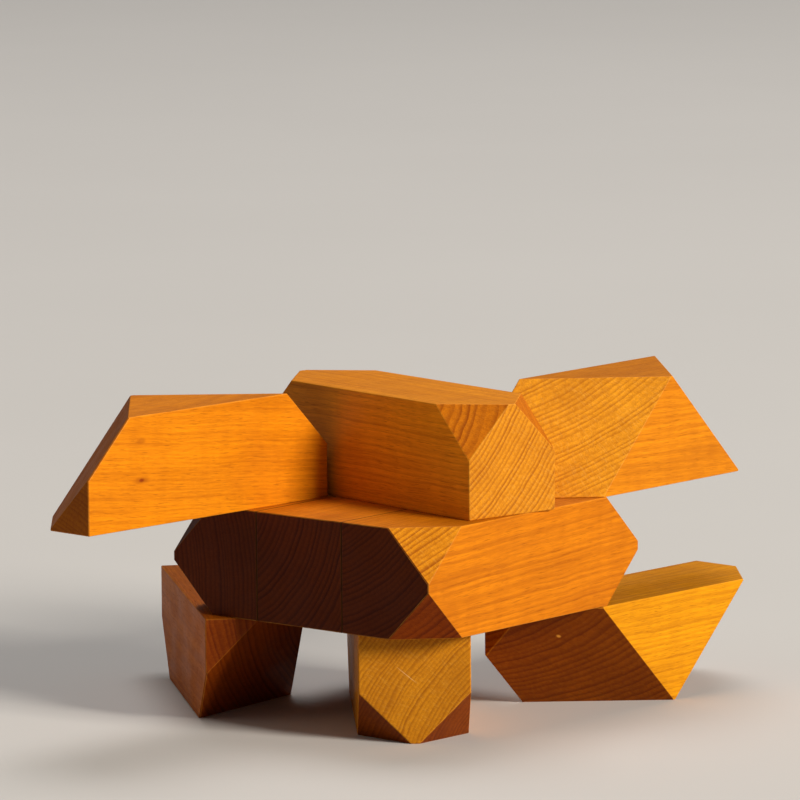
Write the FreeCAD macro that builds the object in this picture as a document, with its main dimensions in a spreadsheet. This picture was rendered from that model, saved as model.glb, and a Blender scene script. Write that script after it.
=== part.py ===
import FreeCAD, Part
import os

# A figure stacked from nine wooden bars.  Packed side by side, three by three, the bars make
# a cube whose eight corners are sawn off through the middles of its edges.  So there are
# three kinds of bar: a plain one from the middle of the cube, edge bars with four small
# sawn corners round one long face, and corner bars with two large sloping cuts.
# In the figure they lie in three layers: legs, body and top.  Disc magnets, hidden behind
# the faces at the middle of a bar-wide cell, hold each block on its neighbour.
# +X is to the figure's right, +Y to its back and +Z up.  The origin is on the floor, in the
# middle of the front leg's foot.

# Driving dimensions: millimetres, degrees and plain counts.
DIMENSIONS = {
    "bar_width": 40,            # both sides of a bar's square section
    "cells_long": 3,            # a bar's length, in bar widths
    "edge_bar_land": 1.3,       # how far an edge bar's cuts stop short of its edges' middles
    "corner_bar_land": 0.3,     # the same on a corner bar
    "eased_radius": 0.5,        # every edge is sanded round
    "magnet_diameter": 10,
    "magnet_height": 3,
    "magnet_skin": 1.5,         # wood between a magnet's pocket and the face it works through
    "pocket_play": 0.1,         # glue gap all round a magnet
    "body_yaw": 50.0,           # how the body's bars lie, counted from +X towards +Y
    "head_slip": 2.7,           # the head sits off its magnet, both back and out
    "head_yaw": 46.4,
    "back_yaw": 129.1,
    "tail_yaw": 49.4,
    "left_leg_yaw": 99.6,
    "front_leg_yaw": 92.4,
    "right_leg_yaw": 47.3,
}

LENGTH = "Sizes.bar_width * Sizes.cells_long"
MIDDLE_HEIGHT = "Sizes.bar_width * 1.5"         # of the body's layer above the floor

# The kinds of bar: how many cells it is from the cube's middle, along the edge that its cuts
# run round, and its land.  Every sawn bar is one cell out the other way.
EDGE_BAR = (0, "Sizes.edge_bar_land")
CORNER_BAR = (1, "Sizes.corner_bar_land")

# The angle about a bar's length, from +Y, at which a side of it faces.  A corner bar is sawn
# on the named side and on the next one.
SIDES = {"left": 0, "above": 90, "right": 180, "below": -90}

doc = FreeCAD.newDocument("block_figure")
subparts = []


def fill_sheet():
    """Puts the driving dimensions in the spreadsheet, each under its own alias."""
    sheet = doc.addObject("Spreadsheet::Sheet", "Sizes")
    for row, (alias, value) in enumerate(DIMENSIONS.items(), start=1):
        sheet.set(f"A{row}", alias)
        sheet.set(f"B{row}", str(value))
        sheet.setAlias(f"B{row}", alias)
    doc.recompute()


def bind(thing, formulas):
    """Ties thing's properties to formulas over the sheet."""
    for name, formula in formulas.items():
        thing.setExpression(name, formula)


def move(x, y, z):
    """The formula of a placement that only moves."""
    return f"placement(vector({x}; {y}; {z}); rotation(0; 0; 0))"


def turn(yaw, pitch, roll):
    """The formula of a placement that only turns: about Z, Y and X."""
    return f"placement(vector(0; 0; 0); rotation({yaw}; {pitch}; {roll}))"


def square_bar(name):
    """The bar before it is sawn, centred on its own middle."""
    box = doc.addObject("Part::Box", name + "_square")
    bind(box, {
        "Length": LENGTH,
        "Width": "Sizes.bar_width",
        "Height": "Sizes.bar_width",
        "Placement": move(f"-{LENGTH} / 2", "-Sizes.bar_width / 2", "-Sizes.bar_width / 2"),
    })
    return box


def sawn_layer(name, kind, sawn_side):
    """What the saw leaves of the cube's outer layer, placed about the bar's own middle.

    It is a square pyramid without its top, which narrows outwards along +Y.  Its corners
    point along the cube's edges, hence the turn of 45 degrees.
    """
    cells_aside, land = kind
    inner = f"(Sizes.bar_width * 2.5 + {land}) / sqrt(2)"
    outer = f"(Sizes.bar_width * 1.5 + {land}) / sqrt(2)"
    pyramid = doc.addObject("Part::Wedge", name + "_saw_cuts")
    bind(pyramid, {"Ymin": "-Sizes.bar_width / 2", "Ymax": "Sizes.bar_width / 2"})
    for axis in "XZ":
        bind(pyramid, {f"{axis}min": "-" + inner, f"{axis}max": inner})
        bind(pyramid, {f"{axis}2min": "-" + outer, f"{axis}2max": outer})
    steps = [turn(0, 0, SIDES[sawn_side]), move(0, 0, f"-Sizes.bar_width * {cells_aside}"), turn(0, 45, 0)]
    bind(pyramid, {"Placement": " * ".join(steps)})
    return pyramid


def bar(name, kind=None, sawn_side=None):
    """A bar with eased edges, as a body in its own frame: X along it, Z up in the figure."""
    stock = square_bar(name)
    if kind:
        sawn = doc.addObject("Part::Common", name + "_sawn")
        sawn.Base = stock
        sawn.Tool = sawn_layer(name, kind, sawn_side)
        stock = sawn
    body = doc.addObject("PartDesign::Body", name)
    body.Label = name
    body.BaseFeature = stock
    sharp = body.Group[0]
    bind(sharp, {"Placement": f"{stock.Name}.Placement"})
    eased = body.newObject("PartDesign::Fillet", name + "_eased")
    eased.Base = (sharp, [""])
    eased.UseAllEdges = True
    bind(eased, {"Radius": "Sizes.eased_radius"})
    subparts.append(body)
    return body


def stack(block, neighbour, cell, own_cell, yaw, level, slip="0"):
    """Lays block above (level 1) or below (-1) neighbour, with one cell over another.

    Cells are counted from a bar's middle.  The block turns about the middle of that cell.
    """
    steps = [
        f"{neighbour.Name}.Placement",
        move(f"Sizes.bar_width * {cell} + {slip}", slip, f"Sizes.bar_width * {level}"),
        turn(f"{yaw} - Sizes.body_yaw", 0, 0),
        move(f"-Sizes.bar_width * {own_cell}", 0, 0),
    ]
    bind(block, {"Placement": " * ".join(steps)})


def magnet(block, cell, side, name):
    """A disc magnet behind one side of a cell of block, and the closed pocket it lies in."""
    roll = SIDES[side] - 90         # a cylinder stands along +Z, not +Y

    def seat(depth):
        out = f"Sizes.bar_width / 2 - Sizes.magnet_skin - {depth}"
        return f"{turn(0, 0, roll)} * {move(f'Sizes.bar_width * {cell}', 0, out)}"

    pocket = block.newObject("PartDesign::SubtractiveCylinder", name + "_pocket")
    pocket_height = "(Sizes.magnet_height + 2 * Sizes.pocket_play)"
    bind(pocket, {
        "Radius": "Sizes.magnet_diameter / 2 + Sizes.pocket_play",
        "Height": pocket_height,
        "Placement": seat(pocket_height),
    })
    disc = doc.addObject("Part::Cylinder", name)
    disc.Label = name
    bind(disc, {
        "Radius": "Sizes.magnet_diameter / 2",
        "Height": "Sizes.magnet_height",
        "Placement": f"{block.Name}.Placement * {seat('(Sizes.magnet_height + Sizes.pocket_play)')}",
    })
    subparts.append(disc)


def check_and_write():
    """Stops on anything that failed to build.  Only then writes one STEP file per sub-part."""
    doc.recompute()
    for thing in doc.Objects:
        if "Invalid" in thing.State or "Error" in thing.State:
            raise RuntimeError(f"{thing.Name} failed: {thing.State}")
    for subpart in subparts:
        if subpart.Shape.isNull() or not subpart.Shape.isValid():
            raise RuntimeError(f"{subpart.Label} has no valid shape")

    os.makedirs("parts", exist_ok=True)
    for subpart in subparts:
        subpart.Shape.exportStep(f"parts/{subpart.Label}.step")


fill_sheet()

# The body: three bars side by side, the outer two sawn on their outer long edges.
middle_body = bar("middle_body_block")
left_body = bar("left_body_block", EDGE_BAR, "left")
right_body = bar("right_body_block", EDGE_BAR, "right")
bind(middle_body, {"Placement": f"{move(0, 0, MIDDLE_HEIGHT)} * {turn('Sizes.body_yaw', 0, 0)}"})
beside = f"{middle_body.Name}.Placement * "
bind(left_body, {"Placement": beside + move(0, "Sizes.bar_width", 0)})
bind(right_body, {"Placement": beside + move(0, "-Sizes.bar_width", 0)})

# The top: the head and tail stick out from the body's ends, and the back lies across it.
head = bar("head_block", CORNER_BAR, "left")
back = bar("back_block", EDGE_BAR, "above")
tail = bar("tail_block", CORNER_BAR, "above")
stack(head, left_body, -1, 1, "Sizes.head_yaw", 1, slip="Sizes.head_slip")
stack(back, middle_body, 0, 0, "Sizes.back_yaw", 1)
stack(tail, right_body, 1, -1, "Sizes.tail_yaw", 1)

# The legs: one under each outer body bar and one under the middle.
left_leg = bar("left_leg_block", CORNER_BAR, "right")
front_leg = bar("front_leg_block", EDGE_BAR, "below")
right_leg = bar("right_leg_block", CORNER_BAR, "right")
stack(left_leg, left_body, -1, -1, "Sizes.left_leg_yaw", -1)
stack(front_leg, middle_body, 0, 0, "Sizes.front_leg_yaw", -1)
stack(right_leg, right_body, 1, -1, "Sizes.right_leg_yaw", -1)

# One magnet in each of two blocks that are stacked.
for block, cell, side in (
    (head, 1, "below"),
    (back, 0, "below"),
    (tail, -1, "below"),
    (left_leg, -1, "above"),
    (front_leg, 0, "above"),
    (right_leg, -1, "above"),
    (left_body, -1, "above"),
    (left_body, -1, "below"),
    (middle_body, 0, "above"),
    (middle_body, 0, "below"),
    (right_body, 1, "above"),
    (right_body, 1, "below"),
):
    magnet(block, cell, side, f"{block.Label}_magnet_{side}")

# The body's bars hold together side by side, at both ends.
for end, cell in (("front", -1), ("rear", 1)):
    for block, side in (
        (left_body, "right"),
        (middle_body, "left"),
        (middle_body, "right"),
        (right_body, "left"),
    ):
        magnet(block, cell, side, f"{block.Label}_magnet_{side}_{end}")

check_and_write()
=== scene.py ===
import math
from collections import namedtuple

import bpy
from mathutils import Matrix, Vector

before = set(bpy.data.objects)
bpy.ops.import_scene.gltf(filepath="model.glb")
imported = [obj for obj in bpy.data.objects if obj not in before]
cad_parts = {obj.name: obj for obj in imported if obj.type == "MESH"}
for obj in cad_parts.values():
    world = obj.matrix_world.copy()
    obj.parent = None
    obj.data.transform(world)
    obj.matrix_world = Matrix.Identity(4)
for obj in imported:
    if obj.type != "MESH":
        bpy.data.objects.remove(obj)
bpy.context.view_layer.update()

# A small animal-like figure stacked from nine oiled wooden bars.  The bars' shapes come from the
# frame and are kept.  This script gives them their wood, and makes the floor, lights and camera.

MM = 0.001

# The bars' size in mm, half of each side, in a bar's own axes: X along it, Y across it, Z up.
HALF_LENGTH = 60
HALF_WIDTH = 20

# Colours of the oiled wood, linear RGB.
EARLY_WOOD = (0.76, 0.262, 0.006, 1)
LATE_WOOD = (0.30, 0.066, 0.002, 1)
PORE = (0.15, 0.03, 0.002, 1)
RAY = (0.86, 0.40, 0.05, 1)
# The next colour is partly wear on the rounded edges and partly a painted highlight on them.
WORN_EDGE_AND_HIGHLIGHT = (0.80, 0.34, 0.04, 1)
KNOT = (0.20, 0.022, 0.001, 1)
SCRATCH = (0.90, 0.60, 0.28, 1)
# The next colour is painted shade: the dark of the shadow in the seams between bars.
PAINTED_SEAM_SHADE = (0.03, 0.008, 0.001, 1)

# Tints of a bar's square ends and sloping cuts: partly the end grain's own colour, partly painted light
# and shade, darker on faces that the light misses and lighter on those it strikes.
PALE = (0.80, 0.87, 1.1)
DARK = (0.15, 0.08, 0.03)
BROWN = (0.48, 0.40, 0.32)
RED = (0.50, 0.36, 0.25)
DEEP_RED = (0.33, 0.18, 0.12)
ROSE = (0.70, 0.56, 0.42)
GOLD = (1.14, 1.38, 3.0)

# What differs from bar to bar.  pith is the middle of the growth rings, mm across and above the bar's
# own middle.  ring is a ring's width in mm, lean how far the fibres rise, in mm per mm of length, and
# grain the rings' strength.  tone tints the whole bar.  end, upper and lower tint its square ends and
# its sloping cuts, above and below, once more: partly the darker end grain, partly painted light and
# shade, darker on faces that the light misses, lighter on those it strikes.
Wood = namedtuple("Wood", "pith ring lean grain tone end upper lower")
WOODS = {
    "head_block": Wood((20, -95), 1.7, -0.10, 0.5, (0.98, 0.90, 0.5), BROWN, BROWN, BROWN),
    "back_block": Wood((78, 64), 1.9, 0.0, 0.8, (1.12, 1.15, 1.4), PALE, ROSE, ROSE),
    "tail_block": Wood((40, 45), 2.0, -0.05, 0.6, (0.91, 0.88, 0.7), GOLD, GOLD, GOLD),
    "left_body_block": Wood((100, -10), 1.9, 0.0, 0.9, (0.90, 0.80, 0.7), DARK, DARK, DARK),
    "middle_body_block": Wood((45, 30), 2.2, 0.0, 1.0, (0.90, 0.80, 0.7), DARK, DARK, DARK),
    "right_body_block": Wood((40, 60), 1.9, 0.05, 0.9, (0.86, 0.76, 0.4), DARK, GOLD, DEEP_RED),
    "left_leg_block": Wood((-70, 35), 2.1, 0.0, 0.9, (0.70, 0.52, 0.50), RED, RED, RED),
    "front_leg_block": Wood((-70, -45), 1.5, 0.0, 0.7, (0.95, 1.00, 1.0), PALE, DEEP_RED, DEEP_RED),
    "right_leg_block": Wood((40, 85), 1.9, 0.0, 0.8, (1.00, 1.20, 0.4), RED, RED, DEEP_RED),
}

# Uneven darkening along the fibres: the size of its blobs in mm, a seed, a level of detail, the range of
# the noise that darkens and how much it does at most.
Darkening = namedtuple("Darkening", "size seed detail start end most")
DARKENINGS = {
    "patch": Darkening((90, 16, 16), 11, 2.0, 0.35, 0.65, 0.22),
    "figure": Darkening((7, 30, 30), 16, 3.0, 0.35, 0.65, 0.12),
    "streak": Darkening((60, 1.1, 1.1), 12, 4.0, 0.38, 0.70, 0.32),
    "hair": Darkening((5, 0.30, 0.30), 17, 1.0, 0.40, 0.65, 0.20),
}

# How strongly the rest shows: rings and rays on long sides and on cut grain, pores, edge wear with a
# painted highlight, and painted shade in the seams.
RINGS_ALONG = 0.42
RAYS_ALONG = 0.04
RAYS_ACROSS = 0.16
PORE_STRENGTH = 0.42
WEAR_AND_HIGHLIGHT_STRENGTH = 0.28
SEAM_SHADE_STRENGTH = 0.85

# The oil's low sheen, and how deep the grain's relief is, in mm.
SMOOTHEST = 0.46
ROUGHEST = 0.60
PORE_ROUGHER = 0.15
WORN_SMOOTHER = 0.06
SPECULAR = 0.07
COAT = 0.02
COAT_ROUGHNESS = 0.30
RELIEF = 0.05
RELIEF_STRENGTH = 0.35

# The sides of the body bars, +Y or -Y, that are kept against another bar.  Their edges get painted shade,
# darkened like the shadow in a seam.
SHADED_SEAM_SIDES = {"left_body_block": [-1], "middle_body_block": [-1, 1], "right_body_block": [1]}

# Small marks, in mm in a bar's own axes: a place, a size each way, a turn in degrees about the
# bar's length, a colour and a strength.
Mark = namedtuple("Mark", "place size turn colour strength")
MARKS = {
    "head_block": [
        Mark((-34, -HALF_WIDTH, -3), (5.5, 6, 1.6), 0, LATE_WOOD, 0.6),
        Mark((-34, -HALF_WIDTH, -3), (1.8, 6, 0.9), 0, KNOT, 0.85),
        Mark((-34, -HALF_WIDTH, 11), (3.0, 6, 1.6), 0, LATE_WOOD, 0.5),
    ],
    "front_leg_block": [Mark((-HALF_LENGTH, 3, 5), (3, 6, 0.20), 40, SCRATCH, 0.35)],
    "right_leg_block": [Mark((-45, -3, 8), (2.0, 0.9, 0.9), 0, RAY, 0.6)],
}

# The view: from the front, a little above, through a long lens.  Lens and sensor in mm, place in
# metres, angles in degrees.
SENSOR_WIDTH = 36
LENS = 292.5
CAMERA_PLACE = (-0.002, -2.332, 0.4458)
LOOK_DOWN = 8.07
ROLL = -0.46

# The studio: soft square lights (metres, watts), the faint light from all round, and the floor.
Light = namedtuple("Light", "name place size power colour")
LIGHTS = [
    Light("key", (5.4, -4.0, 2.9), 2.0, 760, (1.0, 0.93, 0.82)),
    Light("fill", (-4.5, -2.0, 2.5), 3.0, 20, (1.0, 0.90, 0.74)),
    Light("top", (0.3, 2.4, 5.0), 3.0, 150, (1.0, 0.97, 0.94)),
]
LIGHT_TARGET = (0, 0, 0.06)
WORLD_COLOUR = (0.82, 0.80, 0.78, 1)
WORLD_STRENGTH = 0.14
FLOOR_HALF = 8.0
FLOOR_COLOURS = (0.56, 0.55, 0.54, 1), (0.59, 0.58, 0.57, 1)

NICKEL = (0.66, 0.65, 0.62, 1)
DULL_NICKEL = (0.55, 0.53, 0.48, 1)


class Graph:
    """One material's node tree, with a short call for each kind of node used here."""

    def __init__(self, name):
        self.material = bpy.data.materials.new(name)
        self.material.use_nodes = True
        self.tree = self.material.node_tree
        self.shader = self.tree.nodes["Principled BSDF"]

    def put(self, socket, value):
        if isinstance(value, bpy.types.NodeSocket):
            self.tree.links.new(value, socket)
        else:
            socket.default_value = value

    def node(self, kind, inputs, **settings):
        made = self.tree.nodes.new(kind)
        for name, value in settings.items():
            setattr(made, name, value)
        for socket, value in inputs.items():
            self.put(made.inputs[socket], value)
        return made

    def math(self, operation, *values):
        return self.node("ShaderNodeMath", dict(enumerate(values)), operation=operation).outputs[0]

    def vector(self, operation, *values):
        made = self.node("ShaderNodeVectorMath", dict(enumerate(values)), operation=operation)
        return made.outputs["Value" if operation == "LENGTH" else "Vector"]

    def join(self, x, y, z):
        return self.node("ShaderNodeCombineXYZ", {0: x, 1: y, 2: z}).outputs[0]

    def split(self, vector):
        return self.node("ShaderNodeSeparateXYZ", {0: vector}).outputs

    def ramp(self, value, start, end, first=0.0, last=1.0):
        """Goes smoothly from first to last as the value goes from start to end."""
        inputs = {"Value": value, "From Min": start, "From Max": end, "To Min": first, "To Max": last}
        return self.node("ShaderNodeMapRange", inputs, interpolation_type="SMOOTHSTEP").outputs[0]

    def noise(self, place, size, seed, detail=2.0):
        """Noise whose blobs are about the given size (mm) along each axis."""
        stretched = self.vector("DIVIDE", place, size)
        inputs = {"Vector": stretched, "W": seed, "Scale": 1.0, "Detail": detail}
        return self.node("ShaderNodeTexNoise", inputs, noise_dimensions="4D").outputs[0]

    def blend(self, factor, first, second, kind="MIX"):
        inputs = {0: factor, 6: first, 7: second}
        made = self.node("ShaderNodeMix", inputs, data_type="RGBA", blend_type=kind)
        return made.outputs[2]


def bar_yaw(mesh):
    """The direction of a bar's length, from its largest upright faces, so that +X points away."""
    area = {}
    for face in mesh.polygons:
        if abs(face.normal.z) < 0.001:
            heading = round(math.degrees(math.atan2(face.normal.y, face.normal.x)), 1) % 180
            area[heading] = area.get(heading, 0) + face.area
    side = max(area, key=area.get)
    return math.radians((side - 90) % 180)


def bar_centre(mesh, yaw):
    """The middle of a bar's extent along each of its own axes."""
    axes = Matrix.Rotation(yaw, 3, "Z").transposed()
    centre = Vector()
    for axis in axes:
        reach = [vertex.co.dot(axis) for vertex in mesh.vertices]
        centre += axis * (min(reach) + max(reach)) / 2
    return centre


def own_place(graph, centre, yaw):
    """Each point's place in mm in the bar's own axes."""
    coordinates = graph.node("ShaderNodeTexCoord", {})
    inputs = {
        "Vector": coordinates.outputs["Object"],
        "Location": centre,
        "Rotation": (0, 0, yaw),
        "Scale": (MM, MM, MM),
    }
    return graph.node("ShaderNodeMapping", inputs, vector_type="TEXTURE").outputs[0]


def own_normal(graph, yaw):
    """The way each point's face looks, in the bar's own axes."""
    coordinates = graph.node("ShaderNodeTexCoord", {})
    inputs = {"Vector": coordinates.outputs["Normal"], "Angle": -yaw}
    return graph.node("ShaderNodeVectorRotate", inputs, rotation_type="Z_AXIS").outputs[0]


def along_fibres(graph, place, wood, seed):
    """Places shifted so that a fibre, which leans and sways a little, keeps its Y and Z."""
    x, y, z = graph.split(place)
    sway_y = graph.math("MULTIPLY_ADD", graph.noise(place, (45, 30, 30), seed), 3.0, y)
    sway_z = graph.math("MULTIPLY_ADD", graph.noise(place, (45, 30, 30), seed + 7), 3.0, z)
    leaned = graph.math("MULTIPLY_ADD", x, -wood.lean, sway_z)
    return graph.join(x, sway_y, leaned)


def rings(graph, fibre, wood, seed):
    """Growth rings: 0 in pale early wood, 1 in dark late wood.

    Also gives each point's place along the bar, out from the pith and round it, for the rays.
    """
    x, y, z = graph.split(fibre)
    pith_y, pith_z = wood.pith
    from_pith_y = graph.math("SUBTRACT", y, pith_y)
    from_pith_z = graph.math("SUBTRACT", z, pith_z)
    radius = graph.vector("LENGTH", graph.join(0.0, from_pith_y, from_pith_z))
    radius_only = graph.join(radius, 0.0, 0.0)
    uneven = graph.noise(radius_only, (7, 7, 7), seed, detail=1.0)
    wobble = graph.noise(fibre, (60, 9, 9), seed + 3)
    shifted = graph.math("MULTIPLY_ADD", uneven, 5.0, radius)
    shifted = graph.math("MULTIPLY_ADD", wobble, 1.4, shifted)
    phase = graph.math("FRACT", graph.math("DIVIDE", shifted, wood.ring))
    darkening = graph.ramp(phase, 0.25, 0.85)
    new_ring = graph.ramp(phase, 0.90, 1.0, 1.0, 0.0)
    strength = graph.noise(radius_only, (4, 4, 4), seed + 5, detail=0.0)
    late = graph.math("MULTIPLY", darkening, new_ring)
    late = graph.math("MULTIPLY", late, graph.ramp(strength, 0.3, 0.7, 0.35))
    angle = graph.math("ARCTAN2", from_pith_z, from_pith_y)
    return late, graph.join(x, radius, graph.math("MULTIPLY", angle, 80.0))


def edge_mask(graph, normal):
    """1 on a bar's rounded edges, which face between two of its flat faces."""
    x, y, z = graph.split(graph.vector("ABSOLUTE", normal))
    square_face = graph.math("MAXIMUM", graph.math("MAXIMUM", x, y), z)
    total = graph.math("ADD", graph.math("ADD", x, y), z)
    sawn_face = graph.math("DIVIDE", total, math.sqrt(3))
    flat = graph.math("MAXIMUM", square_face, sawn_face)
    return graph.ramp(flat, 0.995, 0.93)


def mark_mask(graph, place, mark):
    """1 in the middle of a mark and 0 outside it."""
    inputs = {
        "Vector": place,
        "Location": mark.place,
        "Rotation": (math.radians(mark.turn), 0, 0),
        "Scale": mark.size,
    }
    inside = graph.node("ShaderNodeMapping", inputs, vector_type="TEXTURE").outputs[0]
    return graph.ramp(graph.vector("LENGTH", inside), 1.0, 0.3, 0.0, mark.strength)


def end_masks(graph, place, normal):
    """Masks: 1 where the grain is cut across, on square ends, on upper cuts and on lower cuts."""
    facing = graph.split(graph.vector("ABSOLUTE", normal))[0]
    reach = graph.split(graph.vector("ABSOLUTE", place))[0]
    at_end = graph.ramp(reach, HALF_LENGTH - 0.5, HALF_LENGTH - 0.2)
    across = graph.math("MAXIMUM", graph.ramp(facing, 0.2, 0.5), at_end)
    square = graph.math("MAXIMUM", graph.ramp(facing, 0.65, 0.85), at_end)
    sloping = graph.math("MULTIPLY", graph.ramp(facing, 0.3, 0.5), graph.math("SUBTRACT", 1.0, square))
    # Cuts that look down get their own tint, which carries painted shade.
    looks_up = graph.ramp(graph.split(normal)[2], -0.2, 0.2)
    upper = graph.math("MULTIPLY", sloping, looks_up)
    lower = graph.math("SUBTRACT", sloping, upper)
    return across, square, upper, lower


def seam_shade_mask(graph, place, sides):
    """1 along those of a bar's two upright long sides that are kept against another bar, where a seam's
    shade is painted.
    """
    y = graph.split(place)[1]
    mask = 0.0
    for side in sides:
        reach = graph.math("MULTIPLY", y, side)
        mask = graph.math("MAXIMUM", mask, graph.ramp(reach, HALF_WIDTH - 0.6, HALF_WIDTH - 0.4))
    return mask


def end_grain_and_painted_light_tint(graph, colour, wood, masks):
    """The colour with the bar's tint, and on its ends and cuts theirs too: partly end grain, partly
    painted light and shade.
    """
    colour = graph.blend(1.0, colour, (*wood.tone, 1), "MULTIPLY")
    for mask, tint in zip(masks, (wood.end, wood.upper, wood.lower)):
        colour = graph.blend(mask, colour, (*tint, 1), "MULTIPLY")
    return colour


def wood_colour(graph, wood, late, ray, pore, noises, across):
    """The bare wood's colour: rings, uneven darkening, rays and pores."""
    ring_strength = graph.ramp(across, 0.0, 1.0, RINGS_ALONG * wood.grain, wood.grain)
    ray_strength = graph.math("MULTIPLY", ray, graph.ramp(across, 0.0, 1.0, RAYS_ALONG, RAYS_ACROSS))
    colour = graph.blend(graph.math("MULTIPLY", late, ring_strength), EARLY_WOOD, LATE_WOOD)
    for name, kind in DARKENINGS.items():
        factor = graph.ramp(noises[name], kind.start, kind.end, 0.0, kind.most)
        colour = graph.blend(factor, colour, LATE_WOOD)
    colour = graph.blend(ray_strength, colour, RAY)
    return graph.blend(graph.math("MULTIPLY", pore, PORE_STRENGTH), colour, PORE)


def edge_masks(graph, node, place, normal, seed):
    """Masks for a bar's rounded edges: where they are rubbed with wear and lightened with a painted
    highlight, and where a seam's shade is painted.
    """
    rounded = edge_mask(graph, normal)
    wear = graph.ramp(graph.noise(place, (6, 6, 6), seed + 21, detail=4.0), 0.3, 0.7, 0.3)
    worn_highlit = graph.math("MULTIPLY", rounded, wear)
    seam_shaded = graph.math("MULTIPLY", rounded, seam_shade_mask(graph, place, SHADED_SEAM_SIDES.get(node, [])))
    return worn_highlit, seam_shaded


def wood_sheen(graph, place, pore, worn_highlit, seed):
    """A low, uneven sheen: duller in the pores, a little brighter on worn edges."""
    smear = graph.noise(place, (18, 12, 12), seed + 15, detail=3.0)
    rough = graph.ramp(smear, 0.3, 0.7, SMOOTHEST, ROUGHEST)
    rough = graph.math("MULTIPLY_ADD", pore, PORE_ROUGHER, rough)
    rough = graph.math("MULTIPLY_ADD", worn_highlit, -WORN_SMOOTHER, rough)
    graph.put(graph.shader.inputs["Roughness"], rough)
    graph.put(graph.shader.inputs["Specular IOR Level"], SPECULAR)
    graph.put(graph.shader.inputs["Coat Weight"], COAT)
    graph.put(graph.shader.inputs["Coat Roughness"], COAT_ROUGHNESS)


def wood_relief(graph, late, pore, streak):
    """Pores sink in, and late wood and streaks stand up a little."""
    relief = graph.math("MULTIPLY_ADD", pore, -1.0, graph.math("MULTIPLY", late, 0.15))
    relief = graph.math("MULTIPLY_ADD", streak, 0.5, relief)
    inputs = {"Height": relief, "Strength": RELIEF_STRENGTH, "Distance": RELIEF * MM}
    bump = graph.node("ShaderNodeBump", inputs)
    graph.put(graph.shader.inputs["Normal"], bump.outputs[0])


def wood_material(node, wood, seed):
    """Oiled wood with rings, fibres, pores and rays, in the bar's own axes."""
    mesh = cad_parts[node].data
    yaw = bar_yaw(mesh)
    graph = Graph(f"oiled_wood_{node}")
    place = own_place(graph, bar_centre(mesh, yaw), yaw)
    normal = own_normal(graph, yaw)
    fibre = along_fibres(graph, place, wood, seed)
    late, polar = rings(graph, fibre, wood, seed)
    across, *ends = end_masks(graph, place, normal)
    worn_highlit, seam_shaded = edge_masks(graph, node, place, normal, seed)
    noises = {
        name: graph.noise(fibre, kind.size, seed + kind.seed, kind.detail)
        for name, kind in DARKENINGS.items()
    }
    pore = graph.ramp(graph.noise(fibre, (6, 0.26, 0.26), seed + 13, detail=1.0), 0.58, 0.72)
    ray = graph.ramp(graph.noise(polar, (1.6, 2.5, 0.32), seed + 14, detail=1.0), 0.50, 0.72)

    colour = wood_colour(graph, wood, late, ray, pore, noises, across)
    # Painted light and shade, partly the end grain's own colour: ends and cuts are tinted darker or
    # lighter by how the light falls on them.
    colour = end_grain_and_painted_light_tint(graph, colour, wood, ends)
    # Partly wear and partly a painted highlight: the rounded edges are lightened as where they catch the
    # light.
    colour = graph.blend(graph.math("MULTIPLY", worn_highlit, WEAR_AND_HIGHLIGHT_STRENGTH), colour, WORN_EDGE_AND_HIGHLIGHT)
    # Painted shade: the rounded edges along the seams between body bars are darkened like the shadow in
    # the groove.
    colour = graph.blend(graph.math("MULTIPLY", seam_shaded, SEAM_SHADE_STRENGTH), colour, PAINTED_SEAM_SHADE)
    for mark in MARKS.get(node, []):
        colour = graph.blend(mark_mask(graph, place, mark), colour, mark.colour)
    graph.put(graph.shader.inputs["Base Color"], colour)
    wood_sheen(graph, place, pore, worn_highlit, seed)
    wood_relief(graph, late, pore, noises["streak"])
    return graph.material


def nickel_material():
    """Bright plated magnets, closed inside the wood: faint blotches and fine handling scratches."""
    graph = Graph("nickel_plate")
    coordinates = graph.node("ShaderNodeTexCoord", {})
    place = graph.vector("DIVIDE", coordinates.outputs["Object"], (MM, MM, MM))
    blotch = graph.noise(place, (3, 3, 3), 1.0, detail=4.0)
    scratch = graph.noise(place, (4, 0.12, 0.3), 2.0)
    colour = graph.blend(graph.ramp(blotch, 0.3, 0.7), NICKEL, DULL_NICKEL)
    graph.put(graph.shader.inputs["Base Color"], colour)
    graph.put(graph.shader.inputs["Metallic"], 1.0)
    graph.put(graph.shader.inputs["Roughness"], graph.ramp(scratch, 0.3, 0.7, 0.16, 0.34))
    bump = graph.node("ShaderNodeBump", {"Height": scratch, "Strength": 0.2, "Distance": 0.02 * MM})
    graph.put(graph.shader.inputs["Normal"], bump.outputs[0])
    return graph.material


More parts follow.
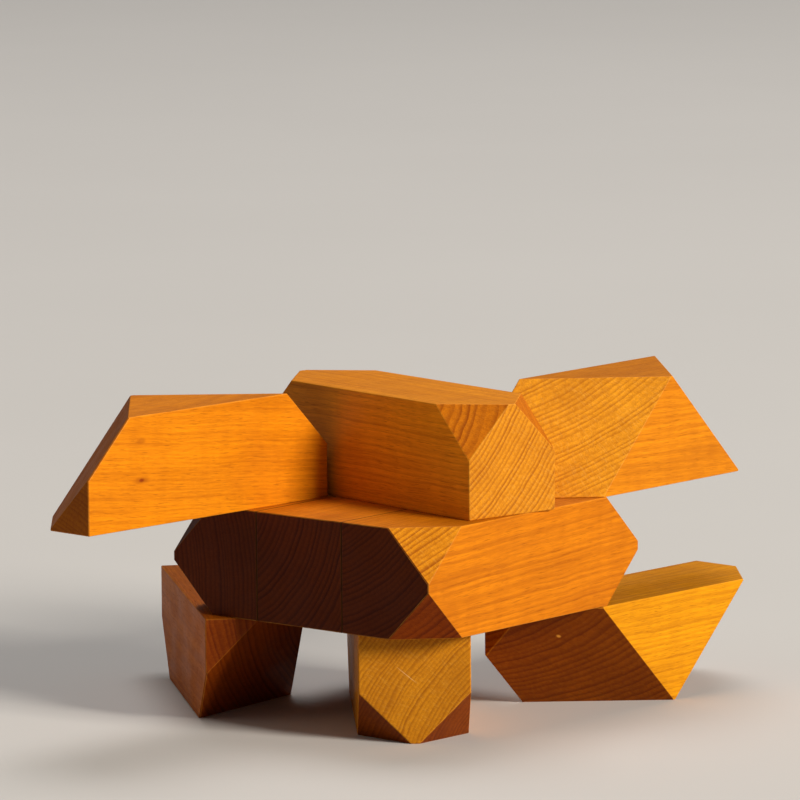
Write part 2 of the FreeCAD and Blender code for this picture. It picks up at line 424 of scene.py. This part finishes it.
def floor_material():
    """A plain, pale, matt floor with the faintest mottling."""
    graph = Graph("pale_floor")
    coordinates = graph.node("ShaderNodeTexCoord", {})
    mottle = graph.noise(coordinates.outputs["Object"], (0.3, 0.3, 0.3), 0.0, detail=4.0)
    colour = graph.blend(mottle, *FLOOR_COLOURS)
    graph.put(graph.shader.inputs["Base Color"], colour)
    graph.put(graph.shader.inputs["Roughness"], 0.9)
    graph.put(graph.shader.inputs["Specular IOR Level"], 0.05)
    return graph.material


def finish_nodes():
    """Gives every CAD node its material."""
    nickel = nickel_material()
    materials = {name: wood_material(name, wood, 10.0 * n) for n, (name, wood) in enumerate(WOODS.items())}
    for name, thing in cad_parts.items():
        for slot in thing.material_slots:
            slot.material = materials.get(name, nickel)


def make_floor():
    mesh = bpy.data.meshes.new("floor")
    corners = [(FLOOR_HALF * x, FLOOR_HALF * y, 0) for x, y in ((-1, -1), (1, -1), (1, 1), (-1, 1))]
    mesh.from_pydata(corners, [], [(0, 1, 2, 3)])
    mesh.materials.append(floor_material())
    floor = bpy.data.objects.new("floor", mesh)
    bpy.context.collection.objects.link(floor)


def make_light(light):
    """A soft square light that faces the figure and isn't seen itself."""
    data = bpy.data.lights.new(light.name, "AREA")
    data.size = light.size
    data.energy = light.power
    data.color = light.colour
    lamp = bpy.data.objects.new(light.name, data)
    lamp.location = light.place
    aim = Vector(LIGHT_TARGET) - Vector(light.place)
    lamp.rotation_euler = aim.to_track_quat("-Z", "Y").to_euler()
    lamp.visible_camera = False
    bpy.context.collection.objects.link(lamp)


def make_world():
    world = bpy.data.worlds.new("studio")
    world.use_nodes = True
    background = world.node_tree.nodes["Background"]
    background.inputs["Color"].default_value = WORLD_COLOUR
    background.inputs["Strength"].default_value = WORLD_STRENGTH
    bpy.context.scene.world = world


def make_camera():
    data = bpy.data.cameras.new("camera")
    data.sensor_width = SENSOR_WIDTH
    data.lens = LENS
    camera = bpy.data.objects.new("camera", data)
    tilt = Matrix.Rotation(math.radians(90 - LOOK_DOWN), 4, "X")
    roll = Matrix.Rotation(math.radians(ROLL), 4, "Z")
    camera.matrix_world = Matrix.Translation(CAMERA_PLACE) @ tilt @ roll
    bpy.context.collection.objects.link(camera)
    bpy.context.scene.camera = camera


finish_nodes()
make_floor()
for light in LIGHTS:
    make_light(light)
make_world()
make_camera()
bpy.context.scene.view_settings.view_transform = "Standard"
